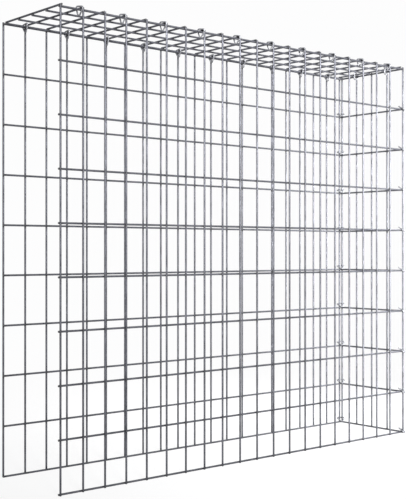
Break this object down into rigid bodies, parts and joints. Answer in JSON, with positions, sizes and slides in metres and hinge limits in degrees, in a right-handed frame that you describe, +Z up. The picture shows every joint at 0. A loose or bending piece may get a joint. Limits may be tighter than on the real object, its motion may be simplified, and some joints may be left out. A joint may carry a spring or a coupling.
{
  "type": "gabion wall basket",
  "caption": "Open welded-wire gabion basket bay with mesh sides, one mesh end and a mesh lid tied with closed wire rings; stood against its neighbour and filled with stones as a wall.",
  "frame": {"origin": "on the ground, at the middle of the basket's length and depth", "axes": "+X along the wall, towards the closed end; +Y from the front to the back; +Z up"},
  "size_m": [1.0154, 0.2211, 0.9143],
  "materials": {
    "mesh_wire": "galvanised, dull grey",
    "ring_wire": "galvanised, bright grey"
  },
  "bodies": {
    "root": {"front_panel": "mesh_wire", "back_panel": "mesh_wire", "end_panel": "mesh_wire", "lid": "mesh_wire", "ring_front_top_1": "ring_wire", "ring_front_top_2": "ring_wire", "ring_front_top_3": "ring_wire", "ring_front_top_4": "ring_wire", "ring_front_top_5": "ring_wire", "ring_front_top_6": "ring_wire", "ring_front_top_7": "ring_wire", "ring_front_top_8": "ring_wire", "ring_front_top_9": "ring_wire", "ring_front_top_10": "ring_wire", "ring_back_top_1": "ring_wire", "ring_back_top_2": "ring_wire", "ring_back_top_3": "ring_wire", "ring_back_top_4": "ring_wire", "ring_back_top_5": "ring_wire", "ring_back_top_6": "ring_wire", "ring_back_top_7": "ring_wire", "ring_back_top_8": "ring_wire", "ring_back_top_9": "ring_wire", "ring_back_top_10": "ring_wire", "ring_end_top_1": "ring_wire", "ring_end_top_2": "ring_wire", "ring_front_corner_1": "ring_wire", "ring_front_corner_2": "ring_wire", "ring_front_corner_3": "ring_wire", "ring_front_corner_4": "ring_wire", "ring_front_corner_5": "ring_wire", "ring_front_corner_6": "ring_wire", "ring_front_corner_7": "ring_wire", "ring_front_corner_8": "ring_wire", "ring_front_corner_9": "ring_wire", "ring_back_corner_1": "ring_wire", "ring_back_corner_2": "ring_wire", "ring_back_corner_3": "ring_wire", "ring_back_corner_4": "ring_wire", "ring_back_corner_5": "ring_wire", "ring_back_corner_6": "ring_wire", "ring_back_corner_7": "ring_wire", "ring_back_corner_8": "ring_wire", "ring_back_corner_9": "ring_wire"}
  },
  "joints": []
}
